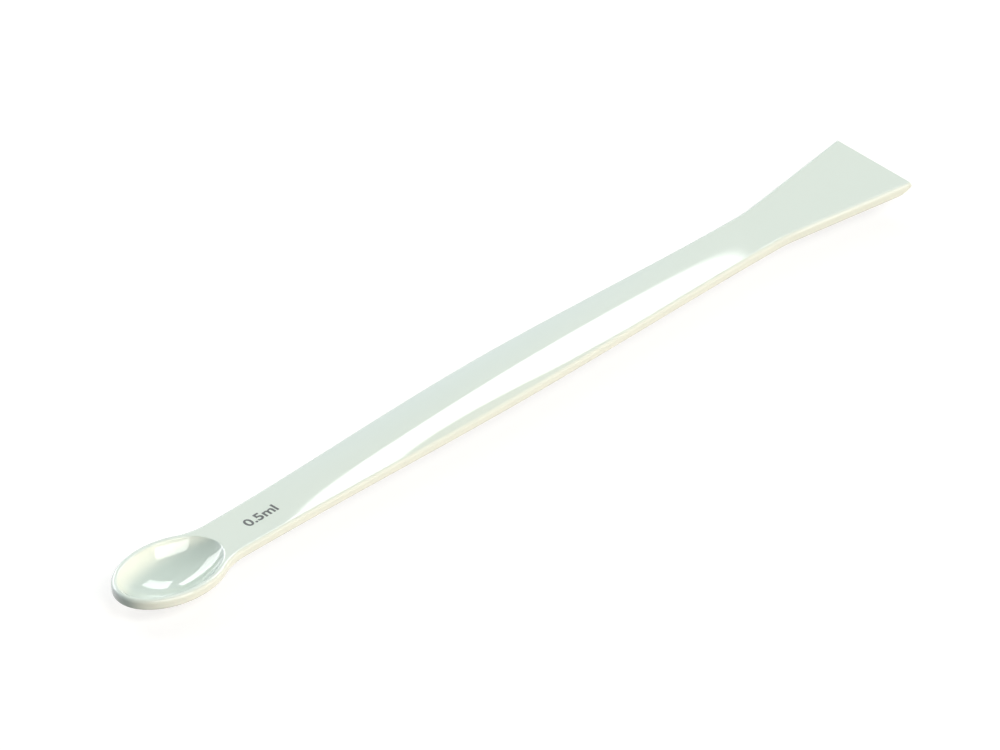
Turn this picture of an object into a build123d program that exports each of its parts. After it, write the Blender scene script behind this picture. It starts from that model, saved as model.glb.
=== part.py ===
from build123d import *

import math
import os

# A double-ended laboratory spatula, moulded in one piece in glossy white plastic.
# +X runs from the spoon to the blade, +Y across the handle and +Z up.
# The origin is under the middle of the spatula, level with the lowest point of the bowl.
# All sizes are in millimetres.

# Overall sizes
overall_length = 180.0
plate_thickness = 2.0
edge_radius = 0.6

# Spoon: an oval rim round a level bowl of 0.5 ml
spoon_half_length = 11.85
spoon_half_width = 7.95
bowl_half_length = 10.9
bowl_half_width = 6.8
bowl_depth = 3.87
bowl_wall = 1.2
lip_radius = 0.4
belly_blend_radius = 0.8
neck_half_width = 5.0
neck_radius = 13.0

# Handle: widest and a little raised in the middle, arched along and across.
# The arch begins and peaks at distances from the spoon's tip and stops short of the blade.
handle_start = 26.0
grip_half_width = 6.5
grip_rise = 0.35
arch_height = 0.85
arch_start = 31.0
arch_peak = 88.0
arch_stop = 5.0
station_spacing = 6.5
neck_stations = 2

# Blade: a flat flared scraper with a bevelled underside at its tip
blade_length = 26.0
blade_neck_half_width = 5.15
blade_half_width = 9.05
blade_run_in = 0.3
flare_radius = 25.0
bevel_length = 2.4
tip_thickness = 0.7

# Levels and ends that follow from the sizes above
rim_level = bowl_depth + bowl_wall
underside_level = rim_level - plate_thickness
spoon_tip = -overall_length / 2
blade_tip = overall_length / 2
flare_start = overall_length - blade_length
flare_angle = math.atan2(blade_half_width - blade_neck_half_width, blade_length)
handle_end = flare_start - flare_radius * math.tan(flare_angle / 2) - blade_run_in
handle_middle = overall_length / 2
arch_end = flare_start - arch_stop


def along(distance):
    """Turns a distance from the spoon's tip into an X coordinate."""
    return spoon_tip + distance


def ease(part_way):
    """Runs smoothly from 0 to 1, level at both ends."""
    t = min(max(part_way, 0.0), 1.0)
    return t * t * (3 - 2 * t)


def swell(distance):
    """How far the handle has grown from its end, 0, to its grip, 1."""
    if distance < handle_middle:
        return ease((distance - handle_start) / (handle_middle - handle_start))
    return ease((handle_end - distance) / (handle_end - handle_middle))


def half_width_at(distance):
    """Half the handle's width, which swells from its neck at each end to the grip."""
    neck = neck_half_width if distance < handle_middle else blade_neck_half_width
    return neck + (grip_half_width - neck) * swell(distance)


def arch_at(distance):
    """Height of the arch over the chord between the handle's two edges."""
    foot = arch_start if distance < arch_peak else arch_end
    t = max((distance - foot) / (arch_peak - foot), 0.0)
    return arch_height * t * (1 + t - t * t)


def spread(start, end, count):
    """Distances spread evenly from the start to just before the end."""
    return [start + (end - start) * step / count for step in range(count)]


# Bowl: part of a spheroid that turns about an axis over the rim,
# placed so that the rim plane cuts it in the oval of the bowl's mouth
bowl_middle = along(spoon_half_length)
bowl_turn_radius = (bowl_half_width**2 + bowl_depth**2) / (2 * bowl_depth)
bowl_turn_length = bowl_half_length * bowl_turn_radius / bowl_half_width
bowl_turn_level = rim_level + bowl_turn_radius - bowl_depth


def spheroid(offset):
    """The bowl's spheroid, grown by an offset to reach the outside of its wall."""
    with BuildPart() as turned:
        with BuildSketch(Plane.XZ):
            with BuildLine():
                curve = EllipticalCenterArc(
                    (bowl_middle, bowl_turn_level),
                    bowl_turn_length + offset,
                    bowl_turn_radius + offset,
                    start_angle=180,
                    arc_size=180,
                )
                Line(curve @ 0, curve @ 1)
            make_face()
        revolve(axis=Axis((bowl_middle, 0, bowl_turn_level), (1, 0, 0)))
    return turned.part


with BuildPart() as belly:
    add(spheroid(bowl_wall))
    split(bisect_by=Plane.XY.offset(underside_level + edge_radius), keep=Keep.BOTTOM)

# Spoon, with the first stretch of the handle
with BuildPart() as spoon:
    with BuildSketch(Plane.XY.offset(underside_level)):
        with Locations((bowl_middle, 0)):
            Ellipse(spoon_half_length, spoon_half_width)
            Rectangle(
                along(handle_start) - bowl_middle,
                neck_half_width * 2,
                align=(Align.MIN, Align.CENTER),
            )
    extrude(amount=plate_thickness)
    neck_corners = spoon.edges().filter_by(Axis.Z).group_by(Axis.X)[-2]
    fillet(neck_corners, radius=neck_radius)
    joint_edges = spoon.edges().group_by(Axis.X)[-1]
    fillet(spoon.faces().filter_by(Axis.Z).edges() - joint_edges, radius=edge_radius)
    add(belly.part)
    add(spheroid(0), mode=Mode.SUBTRACT)
    mouth = spoon.faces().filter_by(Axis.Z).sort_by(Axis.Z)[-1].inner_wires()[0]
    fillet(mouth.edges(), radius=lip_radius)
    belly_root = spoon.faces().filter_by(Axis.Z).sort_by(Axis.Z)[0].inner_wires()[0]
    fillet(belly_root.edges(), radius=belly_blend_radius)

# Handle, lofted through sections that follow its swell and its arch
arch_stations = round((arch_end - arch_start) / station_spacing)
stations = spread(handle_start, arch_start, neck_stations)
stations += spread(arch_start, arch_end, arch_stations)
stations += spread(arch_end, handle_end, neck_stations)
stations.append(handle_end)

with BuildPart() as handle:
    for distance in stations:
        half_width = half_width_at(distance)
        low = underside_level + grip_rise * swell(distance)
        high = low + plate_thickness
        arch = arch_at(distance)
        with BuildSketch(Plane.YZ.offset(along(distance))) as section:
            with BuildLine():
                for level in (low, high):
                    left = (-half_width, level)
                    right = (half_width, level)
                    if arch > 0:
                        ThreePointArc(left, (0, level + arch), right)
                    else:
                        Line(left, right)
                Line((-half_width, low), (-half_width, high))
                Line((half_width, low), (half_width, high))
            make_face()
            fillet(section.vertices(), radius=edge_radius)
    loft()

# Blade
with BuildPart() as blade:
    with BuildSketch(Plane.XY.offset(underside_level)) as flare:
        with BuildLine():
            Polyline(
                (along(handle_end), 0),
                (along(handle_end), blade_neck_half_width),
                (along(flare_start), blade_neck_half_width),
                (blade_tip, blade_half_width),
                (blade_tip, 0),
            )
            mirror(about=Plane.XZ)
        make_face()
        fillet(flare.vertices().group_by(Axis.X)[1], radius=flare_radius)
    extrude(amount=plate_thickness)
    ends = blade.edges().group_by(Axis.X)[0] + blade.edges().group_by(Axis.X)[-1]
    fillet(blade.faces().filter_by(Axis.Z).edges() - ends, radius=edge_radius)
    with BuildSketch(Plane.XZ):
        with BuildLine():
            Polyline(
                (blade_tip - bevel_length, underside_level),
                (blade_tip, rim_level - tip_thickness),
                (blade_tip, underside_level),
                close=True,
            )
        make_face()
    extrude(amount=blade_half_width, both=True, mode=Mode.SUBTRACT)

with BuildPart() as spatula:
    add(spoon.part)
    add(handle.part)
    add(blade.part)

spatula.part.label = "spatula"
os.makedirs("parts", exist_ok=True)
export_step(spatula.part, "parts/spatula.step")
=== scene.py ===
"""A double-ended plastic laboratory spatula, dressed for a studio picture."""

import math

import bmesh
import bpy
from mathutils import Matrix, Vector


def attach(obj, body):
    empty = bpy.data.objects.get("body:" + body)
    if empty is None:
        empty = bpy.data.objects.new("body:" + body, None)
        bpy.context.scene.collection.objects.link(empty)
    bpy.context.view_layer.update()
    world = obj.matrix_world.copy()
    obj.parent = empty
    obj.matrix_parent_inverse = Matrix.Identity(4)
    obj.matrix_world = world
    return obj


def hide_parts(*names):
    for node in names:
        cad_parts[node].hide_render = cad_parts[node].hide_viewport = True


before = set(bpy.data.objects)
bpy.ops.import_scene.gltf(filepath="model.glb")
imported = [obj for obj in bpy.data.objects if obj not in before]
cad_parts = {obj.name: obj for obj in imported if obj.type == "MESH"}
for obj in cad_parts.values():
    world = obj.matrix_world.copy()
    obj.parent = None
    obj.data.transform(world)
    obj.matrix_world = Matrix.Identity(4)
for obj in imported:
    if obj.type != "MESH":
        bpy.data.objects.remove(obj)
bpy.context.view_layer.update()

MM = 0.001

# Camera: an isometric view, with its distance in metres
VIEW_DIRECTION = Vector((-1, -1, 1)).normalized()
VIEW_TARGET = Vector((3.04, 2.43, 3.07)) * MM
VIEW_WIDTH = 169.09 * MM
VIEW_DISTANCE = 1.2

# Floor: its size in metres, how brightly it glows, and its matt colour
FLOOR_SIZE = 1.6
FLOOR_GLOW = 0.76
FLOOR_COLOUR = (0.34, 0.34, 0.32, 1)

# The spatula's sizes in millimetres, the same as the solid's
LENGTH = 180.0
THICKNESS = 2.0
EDGE_RADIUS = 0.6
SPOON_HALF_LENGTH = 11.85
SPOON_HALF_WIDTH = 7.95
BOWL_HALF_LENGTH = 10.9
BOWL_HALF_WIDTH = 6.8
BOWL_DEPTH = 3.87
BOWL_WALL = 1.2
LIP_RADIUS = 0.4
BELLY_BLEND_RADIUS = 0.8
NECK_HALF_WIDTH = 5.0
NECK_RADIUS = 13.0
HANDLE_START = 26.0
GRIP_HALF_WIDTH = 6.5
GRIP_RISE = 0.35
ARCH_HEIGHT = 0.85
ARCH_START = 31.0
ARCH_PEAK = 88.0
ARCH_END = 149.0
BLADE_LENGTH = 26.0
BLADE_NECK_HALF_WIDTH = 5.15
BLADE_HALF_WIDTH = 9.05
BLADE_RUN_IN = 0.3
FLARE_RADIUS = 25.0
BEVEL_LENGTH = 2.4
TIP_THICKNESS = 0.7

RIM_LEVEL = BOWL_DEPTH + BOWL_WALL
UNDERSIDE_LEVEL = RIM_LEVEL - THICKNESS
BOWL_MIDDLE = SPOON_HALF_LENGTH
BOWL_TURN_RADIUS = (BOWL_HALF_WIDTH**2 + BOWL_DEPTH**2) / (2 * BOWL_DEPTH)
BOWL_TURN_LENGTH = BOWL_HALF_LENGTH * BOWL_TURN_RADIUS / BOWL_HALF_WIDTH
BOWL_TURN_LEVEL = RIM_LEVEL + BOWL_TURN_RADIUS - BOWL_DEPTH
FLARE_CORNER = LENGTH - BLADE_LENGTH
FLARE_ANGLE = math.atan2(BLADE_HALF_WIDTH - BLADE_NECK_HALF_WIDTH, BLADE_LENGTH)
FLARE_TANGENT = FLARE_RADIUS * math.tan(FLARE_ANGLE / 2)
HANDLE_END = FLARE_CORNER - FLARE_TANGENT - BLADE_RUN_IN

# How finely the skin is divided: counts of steps, and lengths in millimetres
ROUND_STEPS = 6
ACROSS_STEPS = 20
RIM_STEPS = 40
BEND_STEPS = 10
BOWL_RINGS = 14
HANDLE_STEP = 1.5
BLADE_STEP = 4.0
BEVEL_STEP = 0.6

# Corners whose face turns further from the smooth normal than this stay sharp, in degrees
CREASE_ANGLE = 25.0

# Points that agree to this many decimals of a millimetre are one
PLACE_DIGITS = 4

# A point further than this under the bevel is lifted on to it, in millimetres
LEVEL_TOLERANCE = 1e-6

# Slopes along the handle are measured this far to both sides, in millimetres
SLOPE_REACH = 0.05

# How often the angle where the neck's fillet ends is narrowed to half
HALVINGS = 60

# Volume mark printed on the handle by the spoon, read along the handle. Its letters are
# 1 unit thick, half of it to each side, before they are flattened to the ink's thickness.
# A quarter of the ink lies in the plastic.
MARK_TEXT = "0.5ml"
MARK_START = 29.6
MARK_LENGTH = 7.2
MARK_BASE = -1.1
MARK_HEIGHT = 2.05
MARK_WEIGHT = 0.022
INK_EXTRUDE = 0.5
INK_THICKNESS = 0.02
INK_LIFT = INK_THICKNESS / 4
INK_COLOUR = (0.07, 0.085, 0.085, 1)
INK_ROUGHNESS = 0.4

# White plastic: a faint cloud runs between two tones and between two degrees of gloss
PLASTIC_IOR = 1.73
PLASTIC_TONES = ((0.712, 0.82, 0.736, 1), (0.732, 0.835, 0.756, 1))
PLASTIC_ROUGHNESS = (0.015, 0.03)
CLOUD_SCALE = 60.0
CLOUD_DETAIL = 3.0

# Studio: white panels, each given by half the width of its edges' fade, in radians,
# and by its corners' azimuths from +X and heights, in degrees
PANELS = (
    (0.003, ((-67, 25), (-123, 44), (-124, 69), (-51, 47))),
    (0.010, ((10, 32), (2, 46), (23, 48.8), (43.6, 48.2), (43.2, 30))),
    (0.003, ((58, 19), (52, 34), (100, 44), (104, 12), (78, 13))),
)
PANEL_STRENGTH = 4.8
WHITE = (1, 1, 1, 1)

# Low lamps, a warm one on the near side and a cool, softer one on the far side: azimuth
# and height of each, how sharply it ends, its colour and its strength
LAMPS = (
    ((-72, 10), 300.0, (1.0, 0.73, 0.59), 116.0),
    ((97, 5), 100.0, (0.92, 0.75, 1.0), 28.0),
)

# The dim light from everywhere else
ROOM_COLOUR = (0.01, 0.04, 0.04, 1)


def new_object(name, data):
    """Links a new object with this data, such as a mesh, to the scene."""
    obj = bpy.data.objects.new(name, data)
    bpy.context.scene.collection.objects.link(obj)
    return obj


def direction(azimuth, height):
    """The unit vector at an azimuth from +X and a height over the horizon, in degrees."""
    turn, lift = math.radians(azimuth), math.radians(height)
    level = math.cos(lift)
    return Vector((math.cos(turn) * level, math.sin(turn) * level, math.sin(lift)))


def aim(obj, target):
    """Turns an object's -Z axis to the target, with its Y axis upwards."""
    obj.rotation_euler = (target - obj.location).to_track_quat("-Z", "Y").to_euler()


def make_camera():
    """Sets up the photo's view, which has no perspective."""
    camera = new_object("camera", bpy.data.cameras.new("camera"))
    camera.data.type = "ORTHO"
    camera.data.ortho_scale = VIEW_WIDTH
    camera.location = VIEW_TARGET + VIEW_DIRECTION * VIEW_DISTANCE
    aim(camera, VIEW_TARGET)
    bpy.context.scene.camera = camera


def math_node(nodes, links, operation, *values):
    """A Math node whose inputs are sockets or plain numbers."""
    node = nodes.new("ShaderNodeMath")
    node.operation = operation
    for socket, value in zip(node.inputs, values):
        if isinstance(value, bpy.types.NodeSocket):
            links.new(value, socket)
        else:
            socket.default_value = value
    return node.outputs[0]


def shows_background(nodes, links):
    """1 for the rays that show the background: camera, glossy and transmission rays."""
    path = nodes.new("ShaderNodeLightPath")
    total = path.outputs["Is Camera Ray"]
    for output in ("Is Glossy Ray", "Is Transmission Ray"):
        total = math_node(nodes, links, "MAXIMUM", total, path.outputs[output])
    return total


def facing(nodes, links, ray, vector):
    """How far the ray's direction agrees with a vector, -1 to 1."""
    node = nodes.new("ShaderNodeVectorMath")
    node.operation = "DOT_PRODUCT"
    links.new(ray, node.inputs[0])
    node.inputs[1].default_value = vector
    return node.outputs["Value"]


def panel_mask(nodes, links, ray, softness, corners):
    """1 for the rays that meet the panel with these corners, 0 for the others."""
    points = [direction(*corner) for corner in corners]
    middle = sum(points, Vector())
    mask = None
    for start, end in zip(points, points[1:] + points[:1]):
        across = start.cross(end).normalized()
        if across.dot(middle) < 0:
            across.negate()
        edge = nodes.new("ShaderNodeMapRange")
        edge.interpolation_type = "SMOOTHSTEP"
        edge.inputs["From Min"].default_value = -softness
        edge.inputs["From Max"].default_value = softness
        links.new(facing(nodes, links, ray, across), edge.inputs["Value"])
        inside = edge.outputs["Result"]
        mask = inside if mask is None else math_node(nodes, links, "MULTIPLY", mask, inside)
    return mask


def make_world():
    """Lights the studio: white panels for every ray, soft lamps for the light on matt
    colour, and plain white for the background and what is mirrored."""
    world = bpy.data.worlds.new("studio")
    bpy.context.scene.world = world
    world.use_nodes = True
    nodes, links = world.node_tree.nodes, world.node_tree.links
    nodes.clear()
    ray = nodes.new("ShaderNodeTexCoord").outputs["Generated"]

    soft = nodes.new("ShaderNodeBackground")
    light = None
    for place, sharpness, colour, strength in LAMPS:
        lamp = facing(nodes, links, ray, direction(*place))
        lamp = math_node(nodes, links, "MAXIMUM", lamp, 0.0)
        lamp = math_node(nodes, links, "POWER", lamp, sharpness)
        tone = nodes.new("ShaderNodeMix")
        tone.data_type = "RGBA"
        tone.inputs["A"].default_value = ROOM_COLOUR
        tone.inputs["B"].default_value = (*(c * strength for c in colour), 1)
        links.new(lamp, tone.inputs["Factor"])
        if light is not None:
            links.new(light, tone.inputs["A"])
        light = tone.outputs["Result"]
    links.new(light, soft.inputs["Color"])

    white = nodes.new("ShaderNodeBackground")
    white.inputs["Color"].default_value = WHITE
    room = nodes.new("ShaderNodeMixShader")
    links.new(shows_background(nodes, links), room.inputs["Fac"])
    links.new(soft.outputs[0], room.inputs[1])
    links.new(white.outputs[0], room.inputs[2])

    total = None
    for softness, corners in PANELS:
        mask = panel_mask(nodes, links, ray, softness, corners)
        total = mask if total is None else math_node(nodes, links, "MAXIMUM", total, mask)
    lit = nodes.new("ShaderNodeBackground")
    lit.inputs["Color"].default_value = WHITE
    lit.inputs["Strength"].default_value = PANEL_STRENGTH
    studio = nodes.new("ShaderNodeMixShader")
    links.new(total, studio.inputs["Fac"])
    links.new(room.outputs[0], studio.inputs[1])
    links.new(lit.outputs[0], studio.inputs[2])
    output = nodes.new("ShaderNodeOutputWorld")
    links.new(studio.outputs[0], output.inputs["Surface"])


def make_floor():
    """Lays the floor, which glows to stay white and still takes the shadow."""
    half = FLOOR_SIZE / 2
    mesh = bpy.data.meshes.new("floor")
    corners = [(-half, -half, 0), (half, -half, 0), (half, half, 0), (-half, half, 0)]
    mesh.from_pydata(corners, [], [(0, 1, 2, 3)])
    floor = new_object("floor", mesh)
    material = bpy.data.materials.new("floor")
    material.use_nodes = True
    nodes, links = material.node_tree.nodes, material.node_tree.links
    nodes.clear()
    matt = nodes.new("ShaderNodeBsdfDiffuse")
    matt.inputs["Color"].default_value = FLOOR_COLOUR
    glow = nodes.new("ShaderNodeEmission")
    strength = math_node(nodes, links, "MULTIPLY", shows_background(nodes, links), FLOOR_GLOW)
    links.new(strength, glow.inputs["Strength"])
    both = nodes.new("ShaderNodeAddShader")
    links.new(matt.outputs[0], both.inputs[0])
    links.new(glow.outputs[0], both.inputs[1])
    output = nodes.new("ShaderNodeOutputMaterial")
    links.new(both.outputs[0], output.inputs["Surface"])
    mesh.materials.append(material)


def ease(t):
    """Runs smoothly from 0 to 1, level at both ends."""
    t = min(max(t, 0.0), 1.0)
    return t * t * (3 - 2 * t)


def swell(x):
    """How far the handle has grown from its end, 0, to its grip, 1."""
    middle = LENGTH / 2
    if x < middle:
        return ease((x - HANDLE_START) / (middle - HANDLE_START))
    return ease((HANDLE_END - x) / (HANDLE_END - middle))


def handle_half_width(x):
    """Half the handle's width at a distance from the spoon's tip."""
    neck = NECK_HALF_WIDTH if x < LENGTH / 2 else BLADE_NECK_HALF_WIDTH
    return neck + (GRIP_HALF_WIDTH - neck) * swell(x)


def arch(x):
    """Height of the arch over the chord between the handle's two edges."""
    foot = ARCH_START if x < ARCH_PEAK else ARCH_END
    t = max((x - foot) / (ARCH_PEAK - foot), 0.0)
    return ARCH_HEIGHT * t * (1 + t - t * t)


def bevel(x):
    """The lowest level that the bevel at the blade's tip leaves."""
    part = (x - LENGTH + BEVEL_LENGTH) / BEVEL_LENGTH
    if part <= 0:
        return UNDERSIDE_LEVEL
    return UNDERSIDE_LEVEL + (THICKNESS - TIP_THICKNESS) * part


def steps(start, end, step):
    """Evenly spread values from start to just before the end."""
    count = max(round(abs(end - start) / step), 1)
    return [start + (end - start) * i / count for i in range(count)]


def neck_fillet():
    """Where the neck's fillet is centred, and the angle on the spoon's oval where it ends."""
    centre_y = NECK_HALF_WIDTH + NECK_RADIUS
    low, high = 0.0, math.pi / 2
    for _ in range(HALVINGS):
        angle = (low + high) / 2
        x, y = math.cos(angle), math.sin(angle)
        point = Vector((SPOON_HALF_LENGTH * x, SPOON_HALF_WIDTH * y))
        out = Vector((x / SPOON_HALF_LENGTH, y / SPOON_HALF_WIDTH)).normalized()
        centre = point + out * NECK_RADIUS
        if centre.y < centre_y:
            low = angle
        else:
            high = angle
    return Vector((BOWL_MIDDLE + centre.x, centre_y)), angle


def outline():
    """One side of the outline from the spoon's tip to the blade's, as points with
    outward normals, and how many of them come before the handle."""
    fillet_centre, oval_end = neck_fillet()
    side = []
    for step in range(RIM_STEPS + 1):
        angle = math.pi + (oval_end - math.pi) * step / RIM_STEPS
        x, y = math.cos(angle), math.sin(angle)
        point = Vector((BOWL_MIDDLE + SPOON_HALF_LENGTH * x, SPOON_HALF_WIDTH * y))
        side.append((point, Vector((x / SPOON_HALF_LENGTH, y / SPOON_HALF_WIDTH)).normalized()))
    start = (side[-1][0] - fillet_centre).normalized()
    first = math.atan2(start.y, start.x)
    for step in range(1, BEND_STEPS + 1):
        angle = first + (-math.pi / 2 - first) * step / BEND_STEPS
        away = Vector((math.cos(angle), math.sin(angle)))
        side.append((fillet_centre + away * NECK_RADIUS, -away))
    neck_end = len(side)
    sideways = Vector((0, 1))
    for x in steps(HANDLE_START, HANDLE_END, HANDLE_STEP):
        side.append((Vector((x, handle_half_width(x))), sideways))
    side.append((Vector((HANDLE_END, BLADE_NECK_HALF_WIDTH)), sideways))
    flare_start = FLARE_CORNER - FLARE_TANGENT
    flare_centre = Vector((flare_start, BLADE_NECK_HALF_WIDTH + FLARE_RADIUS))
    for step in range(BEND_STEPS + 1):
        angle = FLARE_ANGLE * step / BEND_STEPS
        normal = Vector((-math.sin(angle), math.cos(angle)))
        side.append((flare_centre - normal * FLARE_RADIUS, normal))
    last = side[-1][0]
    slope = math.tan(FLARE_ANGLE)
    bevel_start = LENGTH - BEVEL_LENGTH
    for x in steps(last.x, bevel_start, BLADE_STEP)[1:] + steps(bevel_start, LENGTH, BEVEL_STEP):
        side.append((Vector((x, last.y + (x - last.x) * slope)), normal))
    side.append((Vector((LENGTH, BLADE_HALF_WIDTH)), sideways))
    return side, neck_end


def edge_profile(point, normal):
    """The rounded edge at a point of the outline, from the top face over the side
    to the underside, as points with normals."""
    x = point.x
    half = max(point.y, EDGE_RADIUS)
    lift = UNDERSIDE_LEVEL + GRIP_RISE * swell(x)
    slope = 2 * arch(x) / half
    tilt = math.atan(slope)
    stretch = math.sqrt(1 + slope * slope)
    high = lift + THICKNESS + EDGE_RADIUS * (slope - stretch)
    low = lift + EDGE_RADIUS * (slope + stretch)
    turns = range(ROUND_STEPS + 1)
    angles = [(high, (math.pi / 2 - tilt) * (1 - step / ROUND_STEPS)) for step in turns]
    angles += [(low, -(math.pi / 2 + tilt) * step / ROUND_STEPS) for step in turns]
    profile = []
    for level, angle in angles:
        away = Vector((normal.x * math.cos(angle), normal.y * math.cos(angle), math.sin(angle)))
        centre = Vector((x - normal.x * EDGE_RADIUS, point.y - normal.y * EDGE_RADIUS, level))
        profile.append(bevelled(centre + away * EDGE_RADIUS, away))
    return profile


def bevelled(point, normal):
    """A point with its normal, lifted on to the bevel if it would be under it."""
    if point.z < bevel(point.x) - LEVEL_TOLERANCE:
        point = Vector((point.x, point.y, bevel(point.x)))
        normal = Vector((THICKNESS - TIP_THICKNESS, 0, -BEVEL_LENGTH)).normalized()
    return point, normal


def surface_normal(x, y, half):
    """Normal of the handle's top face, from its slopes along and across."""
    share = 1 - (y / half) ** 2
    ahead, behind = min(x + SLOPE_REACH, LENGTH), max(x - SLOPE_REACH, 0.0)
    rise = GRIP_RISE * (swell(ahead) - swell(behind)) + (arch(ahead) - arch(behind)) * share
    return Vector((-rise / (ahead - behind), 2 * arch(x) * y / half**2, 1)).normalized()


def bowl_rings(angles, offset, level, radius, side):
    """Rings of a spheroid's cap, from its rounded edge on the plate in to its lowest
    point, with normals to the upper side, 1, or the lower one, -1."""
    turn_length, turn_radius = BOWL_TURN_LENGTH + offset, BOWL_TURN_RADIUS + offset
    share = math.sqrt(1 - ((BOWL_TURN_LEVEL - level) / turn_radius) ** 2)
    steepness = turn_radius * share / math.sqrt(1 - share * share)
    rings = [[] for _ in range(ROUND_STEPS + 1)]
    for angle in angles:
        out = Vector((math.cos(angle) / turn_length, math.sin(angle) / turn_radius, 0))
        tilt = math.atan(steepness * out.length)
        out.normalize()
        rim = Vector((
            BOWL_MIDDLE + turn_length * share * math.cos(angle),
            turn_radius * share * math.sin(angle),
            level,
        ))
        for step, ring in enumerate(rings):
            turned = tilt * step / ROUND_STEPS
            shift = out * (math.tan(tilt / 2) - math.sin(turned)) * radius
            drop = Vector((0, 0, math.cos(turned) - 1)) * radius
            up = Vector((0, 0, math.cos(turned)))
            ring.append((rim + shift + drop, (up - out * math.sin(turned)) * side))
    start = min(
        math.hypot((point.x - BOWL_MIDDLE) / turn_length, point.y / turn_radius)
        for point, _ in rings[-1]
    )
    # The last ring is a single point
    for step in range(1, BOWL_RINGS + 1):
        k = start * math.cos(math.pi / 2 * step / BOWL_RINGS)
        depth = math.sqrt(1 - k * k)
        ring = []
        for angle in angles[:1] if step == BOWL_RINGS else angles:
            x, y = k * math.cos(angle), k * math.sin(angle)
            point = Vector((
                BOWL_MIDDLE + turn_length * x,
                turn_radius * y,
                BOWL_TURN_LEVEL - turn_radius * depth,
            ))
            normal = Vector((-x / turn_length, -y / turn_radius, depth / turn_radius))
            ring.append((point, normal.normalized() * side))
        rings.append(ring)
    return rings


class Skin:
    """Points in millimetres with their normals, and the faces between them."""

    def __init__(self):
        self.points, self.normals, self.faces = [], [], []
        self.places = {}

    def add(self, pairs):
        """Adds points with normals. A point that is there already is used again."""
        row = []
        for point, normal in pairs:
            place = tuple(round(c, PLACE_DIGITS) for c in point)
            if place not in self.places:
                self.places[place] = len(self.points)
                self.points.append(point)
                self.normals.append(normal)
            row.append(self.places[place])
        return row

    def face(self, *corners):
        """Adds a face, without corners that come twice."""
        kept = [c for i, c in enumerate(corners) if c != corners[i - 1]]
        if len(set(kept)) > 2:
            self.faces.append(kept)

    def join(self, one, two, closed=False):
        """Faces between two rows. A row with one point makes a fan."""
        for i in range(0 if closed else 1, max(len(one), len(two))):
            self.face(one[i - 1], one[i], two[i % len(two)], two[(i - 1) % len(two)])


def cross_row(skin, left, right, half, side):
    """A row over the top, side 1, or the underside, side -1, that follows the arch."""
    start, end = skin.points[left], skin.points[right]
    x = start.x
    lift = UNDERSIDE_LEVEL + GRIP_RISE * swell(x) + (THICKNESS if side > 0 else 0)
    inner = []
    for step in range(1, ACROSS_STEPS):
        y = start.y + (end.y - start.y) * step / ACROSS_STEPS
        z = lift + arch(x) * (1 - (y / half) ** 2)
        inner.append(bevelled(Vector((x, y, z)), surface_normal(x, y, half) * side))
    return [left] + skin.add(inner) + [right]


def mirrored(pairs):
    """The same points with normals on the other side of the handle's middle."""
    return [(Vector((p.x, -p.y, p.z)), Vector((n.x, -n.y, n.z))) for p, n in pairs]


def bowl_angle(point):
    """The angle of a point as seen from the middle of the bowl's spheroid."""
    return math.atan2(point.y / BOWL_TURN_RADIUS, (point.x - BOWL_MIDDLE) / BOWL_TURN_LENGTH)


def make_skin():
    """The whole spatula as one closed, finely divided skin."""
    skin = Skin()
    side, neck_end = outline()
    left, right = [], []
    for point, normal in side:
        profile = edge_profile(point, normal)
        left.append(skin.add(profile))
        right.append(skin.add(mirrored(profile)))
    for edge in (left, right):
        for one, two in zip(edge, edge[1:]):
            skin.join(one, two)
    ends = []
    # The top face with the bowl, then the underside with the bowl's belly
    for spot, way, offset, level, radius in (
        (0, 1, 0.0, RIM_LEVEL, LIP_RADIUS),
        (-1, -1, BOWL_WALL, UNDERSIDE_LEVEL, BELLY_BLEND_RADIUS),
    ):
        rows = [
            cross_row(skin, left[i][spot], right[i][spot], side[i][0].y, way)
            for i in range(neck_end, len(side))
        ]
        for one, two in zip(rows, rows[1:]):
            skin.join(one, two)
        ends.append(rows[-1])
        loop = [left[i][spot] for i in range(neck_end - 1, 0, -1)]
        loop += [right[i][spot] for i in range(neck_end)]
        loop += rows[0][::-1]
        angles = [bowl_angle(skin.points[i]) for i in loop]
        for ring in bowl_rings(angles, offset, level, radius, way):
            this = skin.add(ring)
            skin.join(loop, this, True)
            loop = this
    top, under = ends
    skin.face(*top, *right[-1][1:-1], *under[::-1], *left[-1][-2:0:-1])
    return skin


def make_body():
    """Builds the skin as a mesh that stands for the CAD node."""
    skin = make_skin()
    mesh = bpy.data.meshes.new("spatula_skin")
    places = [(p - Vector((LENGTH / 2, 0, 0))) * MM for p in skin.points]
    mesh.from_pydata(places, [], skin.faces)
    shape = bmesh.new()
    shape.from_mesh(mesh)
    bmesh.ops.recalc_face_normals(shape, faces=shape.faces)
    shape.to_mesh(mesh)
    shape.free()
    mesh.shade_smooth()
    limit = math.cos(math.radians(CREASE_ANGLE))
    normals = []
    for face in mesh.polygons:
        flat = face.normal.copy()
        for corner in face.vertices:
            smooth = skin.normals[corner]
            normals.append(smooth if smooth.dot(flat) > limit else flat)
    mesh.normals_split_custom_set(normals)
    body = new_object("spatula_skin", mesh)
    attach(body, "root")
    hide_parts("spatula")
    return body


def top_level(x, y):
    """Level of the handle's top face at a distance from the spoon's tip."""
    return RIM_LEVEL + GRIP_RISE * swell(x) + arch(x) * (1 - (y / handle_half_width(x)) ** 2)


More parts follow.
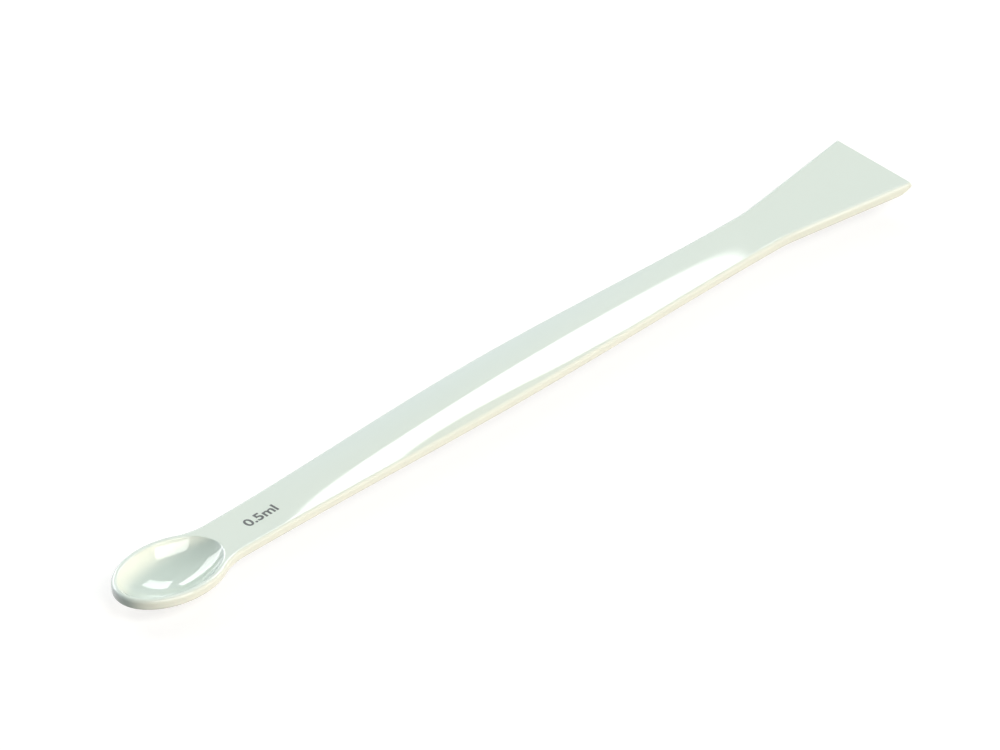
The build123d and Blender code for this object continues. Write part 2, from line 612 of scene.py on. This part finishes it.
def make_mark():
    """The volume mark as a thin layer of ink that lies on the handle's top face."""
    curve = bpy.data.curves.new("mark_text", "FONT")
    curve.body = MARK_TEXT
    curve.offset = MARK_WEIGHT
    curve.extrude = INK_EXTRUDE
    text = new_object("mark_text", curve)
    mesh = bpy.data.meshes.new_from_object(text)
    mesh.name = "volume_mark"
    bpy.data.objects.remove(text)
    bpy.data.curves.remove(curve)
    spots = [vertex.co for vertex in mesh.vertices]
    left, right = min(s.x for s in spots), max(s.x for s in spots)
    bottom, top = min(s.y for s in spots), max(s.y for s in spots)
    for spot in spots:
        x = MARK_START + MARK_LENGTH * (spot.x - left) / (right - left)
        y = MARK_BASE + MARK_HEIGHT * (spot.y - bottom) / (top - bottom)
        z = top_level(x, y) + INK_THICKNESS * spot.z + INK_LIFT
        spot.xyz = Vector((x - LENGTH / 2, y, z)) * MM
    mark = new_object("volume_mark", mesh)
    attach(mark, "root")
    return mark


def make_ink():
    """The dark ink of the volume mark."""
    material = bpy.data.materials.new("dark_ink")
    material.use_nodes = True
    shader = material.node_tree.nodes["Principled BSDF"]
    shader.inputs["Base Color"].default_value = INK_COLOUR
    shader.inputs["Roughness"].default_value = INK_ROUGHNESS
    return material


def make_plastic():
    """The spatula's glossy white plastic."""
    material = bpy.data.materials.new("white_plastic")
    material.use_nodes = True
    nodes, links = material.node_tree.nodes, material.node_tree.links
    shader = nodes["Principled BSDF"]
    shader.inputs["IOR"].default_value = PLASTIC_IOR
    where = nodes.new("ShaderNodeTexCoord")
    cloud = nodes.new("ShaderNodeTexNoise")
    cloud.inputs["Scale"].default_value = CLOUD_SCALE
    cloud.inputs["Detail"].default_value = CLOUD_DETAIL
    links.new(where.outputs["Object"], cloud.inputs["Vector"])
    tone = nodes.new("ShaderNodeMix")
    tone.data_type = "RGBA"
    tone.inputs["A"].default_value, tone.inputs["B"].default_value = PLASTIC_TONES
    links.new(cloud.outputs["Fac"], tone.inputs["Factor"])
    links.new(tone.outputs["Result"], shader.inputs["Base Color"])
    gloss = nodes.new("ShaderNodeMapRange")
    gloss.inputs["To Min"].default_value, gloss.inputs["To Max"].default_value = PLASTIC_ROUGHNESS
    links.new(cloud.outputs["Fac"], gloss.inputs["Value"])
    links.new(gloss.outputs["Result"], shader.inputs["Roughness"])
    return material


make_camera()
make_world()
make_floor()

body = make_body()
body.data.materials.append(make_plastic())
mark = make_mark()
mark.data.materials.append(make_ink())

view = bpy.context.scene.view_settings
view.view_transform = "Standard"
